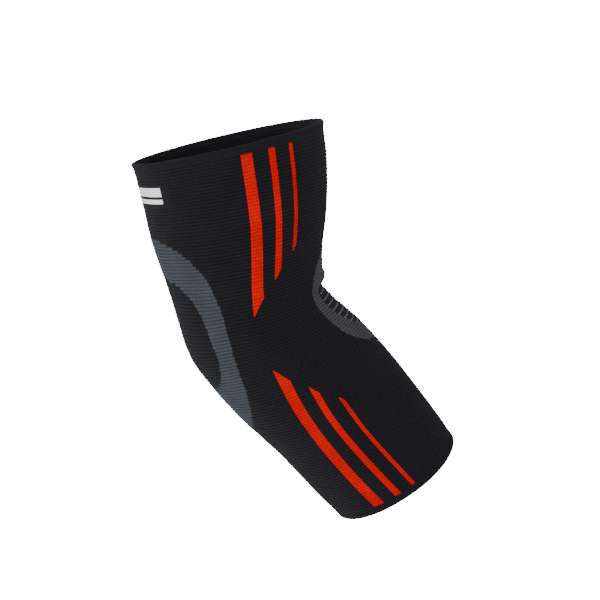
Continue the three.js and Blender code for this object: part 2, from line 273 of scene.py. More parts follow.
def tube_radius(along):
    """Parabola through the radii at the upper edge, the elbow and the lower edge."""
    tilt = (FOREARM_RADIUS - UPPER_RADIUS) / 2
    bow = (FOREARM_RADIUS + UPPER_RADIUS) / 2 - ELBOW_RADIUS
    return ELBOW_RADIUS + tilt * along + bow * along * along


def spine_point(along):
    """Middle line of the tube: straight, then an arc about a centre on the crook side, then
    straight. Gives x and z."""
    reach = along * length_beside(along)
    half_arc = BEND_RADIUS * math.radians(ELBOW_BEND) / 2
    on_arc = np.clip(reach, -half_arc, half_arc)
    middle = math.radians(UPPER_LEAN + ELBOW_BEND / 2)
    lean = middle + on_arc / BEND_RADIUS
    x = BEND_RADIUS * (math.cos(middle) - np.cos(lean)) + (reach - on_arc) * np.sin(lean)
    z = BEND_RADIUS * (math.sin(middle) - np.sin(lean)) - (reach - on_arc) * np.cos(lean)
    return x, z


def wrapped(angle):
    """Angle in degrees brought to between -180 and 180."""
    return (angle + 180) % 360 - 180


def fold_lift(along, around):
    """Each fold is a bell about a place in the crook: its lift times e to the power of minus the
    squares of the distances, measured in reaches and spreads."""
    lift = np.zeros(np.broadcast(along, around).shape)
    for fold in FOLDS:
        down = (along - fold["along"]) * length_beside(along) / (fold["reach"] * ELBOW_RADIUS)
        across = wrapped(around) / fold["spread"]
        lift = lift + fold["lift"] * ELBOW_RADIUS * np.exp(-down * down - across * across)
    return lift


def surface(along, around, out):
    """Points, in metres, out millimetres outside the sleeve: each section is half an ellipse on
    the crook side and half of another on the back, turned about the middle line."""
    x, z = spine_point(along)
    turn, back, crook, side = (table_value(SECTIONS["along"], SECTIONS[column], along)
                               for column in ("turn", "back", "crook", "side"))
    turn = np.radians(UPPER_LEAN + ELBOW_BEND * turn)
    radius = tube_radius(along)
    angle = np.radians(around)
    stand = out + fold_lift(along, around)
    reach = (np.where(np.cos(angle) > 0, crook, back) * radius + stand) * np.cos(angle)
    width = (side * radius + stand) * np.sin(angle)
    return MM * np.stack((x + reach * np.cos(turn), -width, z + reach * np.sin(turn)), axis=-1)


def degrees_per_millimetre(along, around):
    """Degrees round the sleeve that one millimetre covers, from the chord over one degree."""
    ahead = surface(along, around + 0.5, 0.0)
    behind = surface(along, around - 0.5, 0.0)
    return MM / np.linalg.norm(ahead - behind, axis=-1)


# Courses and wales

def knit():
    """The sleeve's settings."""
    return bpy.context.scene.elbow_sleeve


def course_pitch():
    """Length of one course down the middle line, in millimetres."""
    return (UPPER_LENGTH + FOREARM_LENGTH) / knit().courses


def along_of(course):
    """Place along the sleeve of a course."""
    reach = np.asarray(course, float) * course_pitch() - UPPER_LENGTH
    return reach / length_beside(reach)


def course_of(along):
    """Course at a place along the sleeve."""
    return (along * length_beside(np.asarray(along)) + UPPER_LENGTH) / course_pitch()


def around_of(wale):
    """Degrees round the sleeve of a wale."""
    return wale * 360 / knit().wales


def wale_of(around):
    """Wale at so many degrees round the sleeve."""
    return around * knit().wales / 360


def unevenness(course, around):
    """Long swells of a hand's breadth and short ones of a few courses, in millimetres, as
    products of sines that close round the sleeve."""
    turn = np.radians(around)
    long = np.sin(course * 0.11 + 2 * np.sin(turn)) * np.sin(2 * turn + 0.7)
    short = np.sin(course * 0.83 + 3 * turn) * np.sin(7 * turn - course * 0.19)
    return LONG_SWELL * long + SHORT_SWELL * short


def drift(course, around):
    """How far a course runs off its line, in courses, as a sum of two sines round the sleeve."""
    turn = np.radians(around)
    wander = np.sin(3 * turn + course * 0.07) + 0.6 * np.sin(8 * turn - course * 0.13 + 1.3)
    return DRIFT * wander


def knit_point(course, around, out):
    """Point on the knit at a course that may run a little off its line."""
    from_edge = np.minimum(course, knit().courses - course)
    share = np.clip(from_edge / EVEN_COURSES, 0, 1)
    place = course + drift(course, around) * share
    return surface(along_of(place), around, out + unevenness(course, around) * share)


def rib_rows(first, last):
    """Courses and heights of the rows of points across the ribs from one course to another."""
    courses = (np.arange(first, last)[:, None] + RIB_PLACES[:-1]).ravel()
    heights = np.tile(RIB_HEIGHTS[:-1], last - first)
    return np.append(courses, last), np.append(heights, 0.0)


# Meshes

def make_piece(name, points, quads, stitch_uv, material, sharp=75.0):
    """Mesh from points, quads and the wale and course at each corner of each quad."""
    mesh = bpy.data.meshes.new(name)
    mesh.from_pydata(points, [], quads)
    layer = mesh.uv_layers.new(name="Stitches")
    layer.data.foreach_set("uv", np.asarray(stitch_uv, np.float32).ravel())
    mesh.polygons.foreach_set("use_smooth", np.ones(len(quads), bool))
    mesh.set_sharp_from_angle(angle=math.radians(sharp))
    mesh.materials.append(material)
    mesh.update()
    piece = bpy.data.objects.new(name, mesh)
    bpy.context.collection.objects.link(piece)
    return piece


def grid_quads(rows, columns, wraps_down, wraps_round):
    """Index of each quad's four points on a grid that may close on itself either way."""
    row = np.arange(rows if wraps_down else rows - 1)[:, None]
    column = np.arange(columns if wraps_round else columns - 1)[None, :]
    down = (row + 1) % rows
    across = (column + 1) % columns
    corners = (row * columns + column, row * columns + across,
               down * columns + across, down * columns + column)
    return np.stack(np.broadcast_arrays(*corners), axis=-1).reshape(-1, 4)


def repeated(quads, count, points):
    """The quads of one body for each of so many like bodies, each with so many points."""
    return (quads[None] + np.arange(count)[:, None, None] * points).reshape(-1, 4)


def tube_piece(name, courses, out, facets, material, surface_point=knit_point):
    """Ring round the sleeve: a closed profile of courses and distances out, carried round."""
    around = np.arange(facets) * 360 / facets
    points = surface_point(courses[:, None], around[None, :], out[:, None])
    quads = grid_quads(len(courses), facets, True, True)
    row, column = np.divmod(quads, facets)
    column = np.where((column == 0) & (column[:, :1] == facets - 1), facets, column)
    uv = np.stack((column * knit().wales / facets, courses[row]), axis=-1)
    return make_piece(name, points.reshape(-1, 3), quads, uv, material)


def wale_round_tube(_along, around):
    """Wale of the tube at a place, which is the same all along it."""
    return wale_of(around)


def zone_height(rib, relief):
    """Distance out of a zone's surface, where relief is its share of the ribs' full height."""
    settings = knit()
    return (settings.zone_lift + (rib - 1) * settings.rib_height * relief) / MM


def zone_piece(name, strips, edges, rounding, columns, relief, material,
               wale_at=wale_round_tube):
    """Zone knitted in another yarn, as closed strips that are one rib each. strips holds the
    courses where each starts and stops, and edges gives the degrees of both its ends at places
    along. The height is the rib's, and over the rounding at each end it sinks as a quarter
    circle."""
    start, stop = (np.asarray(side, float)[:, None, None] for side in strips)
    course = start + (stop - start) * STRIP_PLACES
    along = along_of(course)
    low, high = edges(along)
    ends = END_PLACES[None, :, None]
    turn = np.minimum(rounding, MOST_ROUNDING * (high - low))
    middle = np.linspace(0, 1, columns)[None, :, None]
    around = np.concatenate((low + ends * turn, low + turn + (high - low - 2 * turn) * middle,
                             high - ends[:, ::-1] * turn), axis=1)
    sinking = 1 - np.sqrt(1 - (1 - END_PLACES) ** 2)
    sink = np.concatenate((sinking, np.zeros(columns), sinking[::-1]))[None, :, None]
    rib = np.interp(course % 1, RIB_PLACES, RIB_HEIGHTS)
    out = zone_height(rib, relief) - END_DEPTH * sink
    out[:, :, len(RIB_PLACES):] = -knit().zone_depth / MM
    course = np.broadcast_to(course, around.shape)
    points = knit_point(course, around, out)
    count, steps, section = around.shape
    quads = grid_quads(steps, section, False, True)[:, ::-1]
    last = (steps - 1) * section
    quads = np.concatenate((quads, STRIP_CAPS, last + STRIP_CAPS[:, ::-1]))
    quads = repeated(quads, count, steps * section)
    uv_at = np.stack((wale_at(along, around).ravel(), course.ravel()), -1)
    return make_piece(name, points.reshape(-1, 3), quads, uv_at[quads], material)


def strips_piece(name, courses, arounds, tops, material):
    """Closed strips side by side: for each strip a grid of courses, places around and heights,
    and the same grid again as its underside, which lies as deep as a zone."""
    strips, rows, columns = tops.shape
    course = np.broadcast_to(courses, tops.shape)
    around = np.broadcast_to(arounds, tops.shape)
    top = knit_point(course, around, tops)
    bottom = knit_point(course, around, np.full_like(tops, -knit().zone_depth / MM))
    loop = np.concatenate((top, bottom[:, :, ::-1]), axis=2)
    loop_course = np.concatenate((course, course[:, :, ::-1]), axis=2)
    loop_wale = wale_of(np.concatenate((around, around[:, :, ::-1]), axis=2))
    quads = grid_quads(rows, 2 * columns, False, True)
    column = np.arange(columns - 1)
    mirror = 2 * columns - 1 - column
    last = (rows - 1) * 2 * columns
    first_cap = np.stack((column, mirror, mirror - 1, column + 1), -1)
    last_cap = last + np.stack((column, column + 1, mirror - 1, mirror), -1)
    quads = np.concatenate((quads, first_cap, last_cap))
    quads = repeated(quads, strips, rows * 2 * columns)
    uv_at = np.stack((loop_wale.ravel(), loop_course.ravel()), -1)
    return make_piece(name, loop.reshape(-1, 3), quads, uv_at[quads], material)


# Six points round a thread, the quads that close its end, and a way that no thread runs
THREAD_ANGLES = np.arange(6) * 2 * math.pi / 6
THREAD_CAP = np.array(((0, 3, 2, 1), (0, 5, 4, 3)))
ASKEW = (0.31, 0.52, 0.79)


def thread_mesh(paths, radius):
    """Short threads: round each point of each path a ring of points square to the path."""
    ahead = np.gradient(paths, axis=1)
    ahead /= np.linalg.norm(ahead, axis=-1, keepdims=True)
    beside = np.cross(ahead, ASKEW)
    beside /= np.linalg.norm(beside, axis=-1, keepdims=True)
    above = np.cross(ahead, beside)
    cosine, sine = np.cos(THREAD_ANGLES)[:, None], np.sin(THREAD_ANGLES)[:, None]
    points = paths[:, :, None] + radius * (cosine * beside[:, :, None] + sine * above[:, :, None])
    threads, steps, sides = points.shape[:3]
    quads = grid_quads(steps, sides, False, True)
    last = (steps - 1) * sides
    quads = np.concatenate((quads, THREAD_CAP, last + THREAD_CAP[:, ::-1]))
    return points.reshape(-1, 3), repeated(quads, threads, steps * sides)


# Finishes

NUMBER = "NodeSocketFloat"
VECTOR = "NodeSocketVector"
COLOUR = "NodeSocketColor"


def new_group(name, inputs, outputs):
    """Empty shader node group with named inputs and outputs."""
    group = bpy.data.node_groups.new(name, "ShaderNodeTree")
    for socket, kind in inputs:
        group.interface.new_socket(socket, in_out="INPUT", socket_type=kind)
    for socket, kind in outputs:
        group.interface.new_socket(socket, in_out="OUTPUT", socket_type=kind)
    return group, group.nodes.new("NodeGroupInput"), group.nodes.new("NodeGroupOutput")


def set_inputs(tree, node, values):
    """Links a node's inputs to sockets, or sets them to numbers and colours."""
    for name, value in values.items():
        if isinstance(value, bpy.types.NodeSocket):
            tree.links.new(value, node.inputs[name])
        else:
            node.inputs[name].default_value = value


def calculate(tree, operation, *values):
    """Math node whose inputs are numbers or sockets."""
    node = tree.nodes.new("ShaderNodeMath")
    node.operation = operation
    set_inputs(tree, node, dict(enumerate(values)))
    return node.outputs[0]


def noise(tree, vector, scale, detail=2.0):
    """Soft noise between 0 and 1."""
    node = tree.nodes.new("ShaderNodeTexNoise")
    set_inputs(tree, node, {"Vector": vector, "Scale": scale, "Detail": detail})
    return node.outputs[0]


def smooth_step(tree, value, low, high):
    """Rises smoothly from 0 at the low value to 1 at the high one."""
    node = tree.nodes.new("ShaderNodeMapRange")
    node.interpolation_type = "SMOOTHSTEP"
    set_inputs(tree, node, {"Value": value, "From Min": low, "From Max": high})
    return node.outputs["Result"]


# Parts of one stitch, as shares of a wale and a course: how far a leg's foot is from the middle
# and how far it leans, and where the leg, the groove, and the gap across and down fade in
LEG_FOOT = 0.12
LEG_LEAN = 0.22
LEG_FADE = (0.17, 0.02)
GROOVE_FADE = (0.33, 0.5)
GAP_FADE_ACROSS = (0.24, 0.06)
GAP_FADE_DOWN = (0.22, 0.46)


def stitch_group():
    """One stitch is a V whose two legs lean apart down the course. Height is how near a point
    is to a leg, Hole marks the dark gap beside the foot of the V, and Groove the valley
    between two courses."""
    group, entry, result = new_group(
        "Knit stitches",
        (("Stitches", VECTOR), ("Rows in a course", NUMBER)),
        (("Height", NUMBER), ("Hole", NUMBER), ("Groove", NUMBER)))
    split = group.nodes.new("ShaderNodeSeparateXYZ")
    group.links.new(entry.outputs["Stitches"], split.inputs[0])
    wale = calculate(group, "FRACT", split.outputs["X"])
    course = calculate(group, "FRACT", split.outputs["Y"])
    rows = calculate(group, "MULTIPLY", split.outputs["Y"], entry.outputs["Rows in a course"])
    row = calculate(group, "FRACT", rows)
    aside = calculate(group, "ABSOLUTE", calculate(group, "SUBTRACT", wale, 0.5))
    leg = calculate(group, "MULTIPLY_ADD", row, LEG_LEAN, LEG_FOOT)
    from_leg = calculate(group, "ABSOLUTE", calculate(group, "SUBTRACT", aside, leg))
    height = smooth_step(group, from_leg, *LEG_FADE)
    from_groove = calculate(group, "ABSOLUTE", calculate(group, "SUBTRACT", course, 0.5))
    groove = smooth_step(group, from_groove, *GROOVE_FADE)
    from_edge = calculate(group, "SUBTRACT", 0.5, aside)
    near_edge = smooth_step(group, from_edge, *GAP_FADE_ACROSS)
    near_foot = smooth_step(group, from_groove, *GAP_FADE_DOWN)
    hole = calculate(group, "MULTIPLY", near_edge, near_foot)
    set_inputs(group, result, {"Height": height, "Hole": hole, "Groove": groove})
    return group


# Noise in the yarn: fineness of the mottling and the fuzz over a metre, of the streaks over a
# wale and a course, and how much each one swings the brightness about its mean
MOTTLE_FINENESS = 60.0
MOTTLE_SWING = 0.5
STREAK_FINENESS = (0.35, 2.0, 1.0)
STREAK_SWING = 0.5
FUZZ_FINENESS = 2600.0
FUZZ_SWING = 0.24


def swing_about_one(tree, value, swing):
    """Noise between 0 and 1 brought to half the swing on either side of 1."""
    return calculate(tree, "MULTIPLY_ADD", value, swing, 1 - swing / 2)


def yarn_group():
    """Colour of the yarn: darker in grooves and gaps, lighter on some threads, and mottled."""
    group, entry, result = new_group(
        "Yarn colour",
        (("Colour", COLOUR), ("Hole", NUMBER), ("Groove", NUMBER), ("Hole shade", NUMBER),
         ("Groove shade", NUMBER), ("Place", VECTOR), ("Stitches", VECTOR)),
        (("Colour", COLOUR), ("Fuzz", NUMBER)))
    mottle = noise(group, entry.outputs["Place"], MOTTLE_FINENESS, detail=3.0)
    stretch = group.nodes.new("ShaderNodeMapping")
    set_inputs(group, stretch, {"Vector": entry.outputs["Stitches"], "Scale": STREAK_FINENESS})
    streak = noise(group, stretch.outputs[0], 1.0)
    fuzz = noise(group, entry.outputs["Place"], FUZZ_FINENESS)
    light = swing_about_one(group, mottle, MOTTLE_SWING)
    for noisy, swing in ((streak, STREAK_SWING), (fuzz, FUZZ_SWING)):
        light = calculate(group, "MULTIPLY", light, swing_about_one(group, noisy, swing))
    # Painted shade: the grooves between courses and the gaps beside the stitches are darkened
    # here, and in part this is the darker yarn that shows in them
    hole = calculate(group, "MULTIPLY", entry.outputs["Hole"], entry.outputs["Hole shade"])
    groove = calculate(group, "MULTIPLY", entry.outputs["Groove"], entry.outputs["Groove shade"])
    shade = calculate(group, "MAXIMUM", hole, groove)
    light = calculate(group, "MULTIPLY", light, calculate(group, "SUBTRACT", 1.0, shade))
    paint = group.nodes.new("ShaderNodeVectorMath")
    paint.operation = "SCALE"
    set_inputs(group, paint, {0: entry.outputs["Colour"], "Scale": light})
    set_inputs(group, result, {"Colour": paint.outputs[0], "Fuzz": fuzz})
    return group


def shared_group(tree, name, build, values):
    """Node with the group of that name, which the first material that needs it builds."""
    node = tree.nodes.new("ShaderNodeGroup")
    node.node_tree = bpy.data.node_groups.get(name) or build()
    set_inputs(tree, node, values)
    return node


# Surface of every yarn: matt, bluish in its sheen, and with a bump that is a little fuzzy
SURFACE = {"Roughness": 0.9, "Specular IOR Level": 0.05,
           "Sheen Roughness": 0.5, "Sheen Tint": (0.85, 0.89, 1.0, 1.0)}
FUZZ_HEIGHT = 0.12
BUMP_STRENGTH = 0.8


def knit_material(name, colour, rows=2.0, hole_shade=0.5, groove_shade=0.5, sheen=0.055,
                  paint=None):
    """Matt yarn with stitches: the stitch group drives the bump, and the yarn group the colour.
    paint may lay something over the colour."""
    found = bpy.data.materials.get(name)
    if found:
        return found
    material = bpy.data.materials.new(name)
    material.use_nodes = True
    tree = material.node_tree
    shader = tree.nodes["Principled BSDF"]
    uv_map = tree.nodes.new("ShaderNodeUVMap")
    uv_map.uv_map = "Stitches"
    stitches_at = uv_map.outputs[0]
    place = tree.nodes.new("ShaderNodeTexCoord").outputs["Object"]
    stitches = shared_group(tree, "Knit stitches", stitch_group,
                            {"Stitches": stitches_at, "Rows in a course": rows})
    yarn = shared_group(tree, "Yarn colour", yarn_group, {
        "Colour": (*colour, 1.0), "Place": place, "Stitches": stitches_at,
        "Hole": stitches.outputs["Hole"], "Hole shade": hole_shade,
        "Groove": stitches.outputs["Groove"], "Groove shade": groove_shade})
    colour_out = yarn.outputs["Colour"]
    if paint:
        colour_out = paint(tree, stitches_at, colour_out)
    height = calculate(tree, "MULTIPLY_ADD", yarn.outputs["Fuzz"], FUZZ_HEIGHT,
                       stitches.outputs["Height"])
    bump = tree.nodes.new("ShaderNodeBump")
    set_inputs(tree, bump, {"Strength": BUMP_STRENGTH, "Distance": knit().stitch_depth,
                            "Height": height})
    set_inputs(tree, shader, {**SURFACE, "Sheen Weight": sheen, "Base Color": colour_out,
                              "Normal": bump.outputs["Normal"]})
    return material


def black_knit():
    return knit_material("black_yarn", knit().black_yarn, hole_shade=0.6, groove_shade=0.8)


def hem_knit():
    return knit_material("hem_yarn", knit().hem_yarn, rows=1.0, hole_shade=0.5, groove_shade=0.2)


def grey_knit():
    return knit_material("grey_yarn", knit().grey_yarn, hole_shade=0.3, groove_shade=0.42)


# Painted shade: a copy of the grey yarn, toned for how the light falls in the crook
def crook_shaded_grey_knit():
    return knit_material("crook_shaded_grey_yarn", knit().crook_shaded_grey_yarn, hole_shade=0.35,
                         groove_shade=0.5)


def crook_knit():
    return knit_material("crook_yarn", knit().crook_yarn, sheen=0.0)


def line_knit():
    return knit_material("line_yarn", knit().line_yarn, hole_shade=0.2, groove_shade=0.0)


def orange_knit():
    return knit_material("orange_yarn", knit().orange_yarn, hole_shade=0.75, groove_shade=0.0,
                         sheen=0.0)


# Two plain bars knitted into the patch: the courses of each, and the wales that both cover
BAR_COURSES = ((8.3, 11.2), (12.1, 13.5))
BAR_WALES = (82.5, 117.5)
BAR_WHITE = (0.93, 0.93, 0.95, 1.0)


def between(tree, value, ends):
    """1 where a value lies between two ends, and 0 elsewhere."""
    low, high = ends
    return calculate(tree, "COMPARE", value, (low + high) / 2, (high - low) / 2)


def paint_bars(tree, stitches_at, colour):
    """Lays the two white bars over the patch's colour by wale and course."""
    split = tree.nodes.new("ShaderNodeSeparateXYZ")
    tree.links.new(stitches_at, split.inputs[0])
    wide = between(tree, split.outputs["X"], BAR_WALES)
    tall = (between(tree, split.outputs["Y"], courses) for courses in BAR_COURSES)
    mix = tree.nodes.new("ShaderNodeMix")
    mix.data_type = "RGBA"
    plain, bars = (socket for socket in mix.inputs if socket.type == "RGBA")
    bars.default_value = BAR_WHITE
    tree.links.new(colour, plain)
    where = calculate(tree, "MULTIPLY", wide, calculate(tree, "MAXIMUM", *tall))
    tree.links.new(where, mix.inputs["Factor"])
    return next(socket for socket in mix.outputs if socket.type == "RGBA")


def label_knit():
    return knit_material("label_yarn", knit().label_yarn, rows=3.0, hole_shade=0.2,
                         groove_shade=0.2, paint=paint_bars)


# Pieces

def finish_piece(piece, slot, *nodes):
    """The piece rides on the one body and stands for its nodes, which it hides. The slot is not
    used.
    """
    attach(piece, "root")
    if nodes:
        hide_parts(*nodes)


class SleeveOperator(bpy.types.Operator):
    """Base of the sleeve's operators."""
    bl_options = {"REGISTER", "UNDO"}


# Gap between the tube and a hem in millimetres, height and relief of the tube's edges there as
# shares of a rib's, and the courses over which the ribs below the upper hem rise to full height
HEM_GAP = 0.3
EDGE_HEIGHT = 0.5
EDGE_RELIEF = 0.2
RIBS_BEGIN = 4.0


class ELBOW_OT_knit_tube(SleeveOperator):
    """Knits the black tube between the hems."""
    bl_idname = "elbow_sleeve.knit_tube"
    bl_label = "Knit the tube"

    def execute(self, context):
        settings = knit()
        first = (UPPER_HEM + HEM_GAP) / course_pitch()
        last = settings.courses - (LOWER_HEM + HEM_GAP) / course_pitch()
        courses, heights = rib_rows(math.ceil(first), math.floor(last))
        courses = np.concatenate(((first,), courses, (last,)))
        heights = np.concatenate(((EDGE_HEIGHT,), heights, (EDGE_HEIGHT,)))
        out = (heights - 1) * settings.rib_height / MM
        out *= np.clip((courses - first) / RIBS_BEGIN, EDGE_RELIEF, 1)
        inside = np.linspace(last, first, int((last - first) / INSIDE_COURSES))
        courses = np.concatenate((courses, inside))
        out = np.concatenate((out, np.full(len(inside), -WALL)))
        piece = tube_piece("sleeve_tube", courses, out, TUBE_FACETS, black_knit())
        finish_piece(piece, "black_knit", "sleeve")
        return {"FINISHED"}


# How far a hem stands out and its overlap reaches in, its points down the outside, over the lip
# and down the inside, the height of its stitches, and the ribs' share of their full relief
HEM_LIFT = 0.08
HEM_SEAT = -0.6
OUTSIDE_POINTS = 26
LIP_POINTS = 9
INSIDE_POINTS = 8
WELT_SWELL = 0.03
HEM_RELIEF = {"upper": 0.1, "lower": 0.8}

# Stitches that hold a hem: where they start down from the edge, their length down it, how deep
# their ends lie and how far they bow
SEAM_START = {"upper": 1.8, "lower": 3.6}
SEAM_STITCH = 0.8
SEAM_SINK = 0.1
SEAM_BOW = 0.22


def hem_stand(down, height, flare):
    """Distance out of a hem's outside: the flare fades away down the hem as a cosine."""
    return HEM_LIFT + flare * (0.5 + 0.5 * np.cos(math.pi * np.clip(down / height, 0, 1)))


def hem_outline(height, flare):
    """Places down from the end and distances out of a turned hem, from its lower edge over the
    outside and the round lip, half a circle, to the inside."""
    lip = WALL / 2
    angle = np.linspace(0, math.pi, LIP_POINTS)
    down = np.linspace(height + SEAM_OVERLAP, lip, OUTSIDE_POINTS)
    outside = np.stack((down, hem_stand(down, height, flare)), -1)
    outside[0, 1] = 0.0
    top_out = outside[-1, 1] - lip
    over = np.stack((lip - lip * np.sin(angle), top_out + lip * np.cos(angle)), -1)[1:]
    down = np.linspace(lip, height, INSIDE_POINTS)[1:]
    inside = np.stack((down, hem_stand(down, height, flare) - WALL), -1)
    inside[-1, 1] = -WALL
    under = np.array(((height, HEM_SEAT), (height + SEAM_OVERLAP, HEM_SEAT)))
    return np.concatenate((outside, over, inside, under))


def hem_piece(end, height, flare):
    """Hem round one end: a cosine round it swells at each stitch of its welt, three staggered
    rows to a course, and both swell and ribs fade away towards the inside."""
    settings = knit()
    at_top = end == "upper"
    outline = hem_outline(height, flare)
    down, out = outline[:, 0] / course_pitch(), outline[:, 1]
    courses = down if at_top else settings.courses - down
    order = slice(None, None, -1) if at_top else slice(None)

    def welt_point(course, around, out_at):
        stagger = np.floor(course * 3) / 2
        swell = WELT_SWELL * np.cos(2 * math.pi * (wale_of(around) + stagger))
        groove = np.interp(course % 1, RIB_PLACES, RIB_HEIGHTS) - 1
        rib = groove * settings.rib_height / MM * HEM_RELIEF[end]
        share = np.clip(out_at + 1.0, 0, 1)
        return surface(along_of(course), around, out_at + (swell + rib) * share)

    return tube_piece(f"{end}_hem_welt", courses[order], out[order], 2 * settings.wales,
                      hem_knit(), welt_point)


def seam_piece(end, height, flare):
    """Sewing thread through the hem: one slanted stitch to two wales, bowed out as a sine."""
    settings = knit()
    share = np.linspace(0, 1, 5)[None, :]
    stitch = np.arange(0, settings.wales, 2)[:, None]
    around = around_of(stitch + share)
    down = np.broadcast_to(SEAM_START[end] + SEAM_STITCH * share, around.shape)
    courses = down / course_pitch()
    courses = courses if end == "upper" else settings.courses - courses
    out = hem_stand(down, height, flare) - SEAM_SINK + SEAM_BOW * np.sin(math.pi * share)
    paths = surface(along_of(courses), around, out)
    points, quads = thread_mesh(paths, settings.thread_radius)
    mid_stitch = np.full((len(quads), 4, 2), 0.5)
    return make_piece(f"{end}_hem_seam", points, quads, mid_stitch, hem_knit(), sharp=180.0)


class ELBOW_OT_sew_hems(SleeveOperator):
    """Turns and sews the upper and the lower hem."""
    bl_idname = "elbow_sleeve.sew_hems"
    bl_label = "Sew the hems"

    def execute(self, context):
        hems = (("upper", UPPER_HEM, UPPER_FLARE), ("lower", LOWER_HEM, LOWER_FLARE))
        for end, height, flare in hems:
            finish_piece(hem_piece(end, height, flare), "hem_knit", f"{end}_hem")
            finish_piece(seam_piece(end, height, flare), "hem_knit")
        return {"FINISHED"}


def egg_half(egg, along):
    """Half width of an egg at a place along: half times the power root of 1 minus the distance
    from the widest place, as a share of the way to that end, raised to the end's power."""
    upward = along < egg["widest"]
    end = np.where(upward, egg["top"], egg["bottom"])
    power = np.where(upward, egg["top_power"], egg["bottom_power"])
    away = np.clip(np.abs((along - egg["widest"]) / (end - egg["widest"])), 0, 1)
    return egg["half"] * (1 - away ** power) ** (1 / power)


# A ring's ribs end a little short of its outline or past it, by up to so many degrees, and are
# rounded there over so many. They are as high as the tube's
RAGGED = 0.55
RAGGED_SEED = 7
RING_ROUNDING = 1.6
RING_COLUMNS = 40
RING_RELIEF = 1.0


def egg_ring_piece(name, ring, material):
    """Ring of whole ribs: those above and below the hole have one strip, the others one strip on
    each side of it."""
    outer, inner = ring["outer"], ring["inner"]
    course = np.arange(*(round(float(course_of(outer[end]))) for end in ("top", "bottom")))
    along = along_of(course + 0.5)
    ragged = np.random.default_rng(RAGGED_SEED).uniform(-RAGGED, RAGGED, (4, len(course)))
    reach = egg_half(outer, along)
    hole = egg_half(inner, along)
    split = hole > RING_ROUNDING
    left, right = outer["centre"] - reach + ragged[0], outer["centre"] + reach + ragged[1]
    hole_left, hole_right = inner["centre"] - hole + ragged[2], inner["centre"] + hole + ragged[3]
    low = np.concatenate((left[~split], left[split], hole_right[split]))[:, None, None]
    high = np.concatenate((right[~split], hole_left[split], right[split]))[:, None, None]
    start = np.concatenate((course[~split], course[split], course[split]))

    def edges(along_strip):
        return low + 0 * along_strip, high + 0 * along_strip

    return zone_piece(name, (start, start + 1), edges, RING_ROUNDING, RING_COLUMNS, RING_RELIEF,
                      material)


class ELBOW_OT_knit_elbow_ring(SleeveOperator):
    """Knits the grey ring round the elbow tip."""
    bl_idname = "elbow_sleeve.knit_elbow_ring"
    bl_label = "Knit the elbow ring"

    def execute(self, context):
        piece = egg_ring_piece("elbow_ring_knit", ELBOW_RING, grey_knit())
        finish_piece(piece, "grey_knit", "elbow_ring")
        return {"FINISHED"}


# Bars across the crook: places and heights across one bar, as shares of its pitch and relief,
# and the same for the thin grey line between two bars
BAR_SECTION = {"place": (0.06, 0.12, 0.26, 0.45, 0.64, 0.78, 0.84),
               "height": (0.0, 0.6, 0.95, 1.0, 0.95, 0.6, 0.0)}
LINE_SECTION = {"place": (0.82, 0.88, 0.95, 1.02, 1.08), "height": (0.0, 0.35, 0.45, 0.35, 0.0)}
BAR_MIDDLE = 0.45

# Height of a bar and of its stitches in millimetres, the share of the height above which they
# show, points across it, how blunt its ends are, and how many degrees short of the ring it ends
BAR_RELIEF = 0.5
BAR_STITCH = 0.05
STITCHED_ABOVE = 0.5
BAR_COLUMNS = 41
BAR_POWER = 14
BAR_INSET = 0.8


def crook_piece(name, section, count, inset, material):
    """Strips across the crook, each as wide as the panel's egg at its own place. Towards the ends
    the height falls as the root of 1 minus a high power of the share of the way there, and a
    cosine swells the top at each stitch."""
    egg = CROOK_RING["inner"]
    bars = np.arange(count)[:, None]
    place = bars + np.array(section["place"])
    top, bottom = course_of(egg["top"]), course_of(egg["bottom"])
    courses = top + (bottom - top) * place / CROOK_BARS
    middle = top + (bottom - top) * (bars + BAR_MIDDLE) / CROOK_BARS
    half = egg_half(egg, along_of(middle)) - inset
    share = np.sin(np.linspace(-1, 1, BAR_COLUMNS) * math.pi / 2)
    around = egg["centre"] + half[:, :, None] * share
    ends = np.sqrt(np.clip(1 - np.abs(share) ** BAR_POWER, 0, 1))
    heights = np.array(section["height"])[:, None] * ends
    stitches = BAR_STITCH * np.cos(2 * math.pi * wale_of(around))
    tops = heights * BAR_RELIEF + stitches * (heights > STITCHED_ABOVE)
    return strips_piece(name, courses[:, :, None], around, tops, material)


class ELBOW_OT_knit_crook(SleeveOperator):
    """Knits the grey ring in the crook, its dark bars and the thin lines between them."""
    bl_idname = "elbow_sleeve.knit_crook"
    bl_label = "Knit the crook"

    def execute(self, context):
        # The crook's ring takes the grey yarn with painted shade for the light in the crook
        ring = egg_ring_piece("crook_ring_knit", CROOK_RING, crook_shaded_grey_knit())
        finish_piece(ring, "grey_knit", "crook_ring")
        bars = crook_piece("crook_bars", BAR_SECTION, CROOK_BARS, BAR_INSET, crook_knit())
        finish_piece(bars, "crook_knit", "crook_panel")
        lines = crook_piece("crook_lines", LINE_SECTION, CROOK_BARS - 1, 0.0, line_knit())
        finish_piece(lines, "grey_knit")
        return {"FINISHED"}


# A stripe's edges are rounded over so many degrees, its ribs are lower than the tube's, and the
# last rib at either end is left out if it is a smaller share of a course
STRIPE_ROUNDING = 0.25
STRIPE_COLUMNS = 12
STRIPE_RELIEF = 0.15
SHORTEST_RIB = 0.15


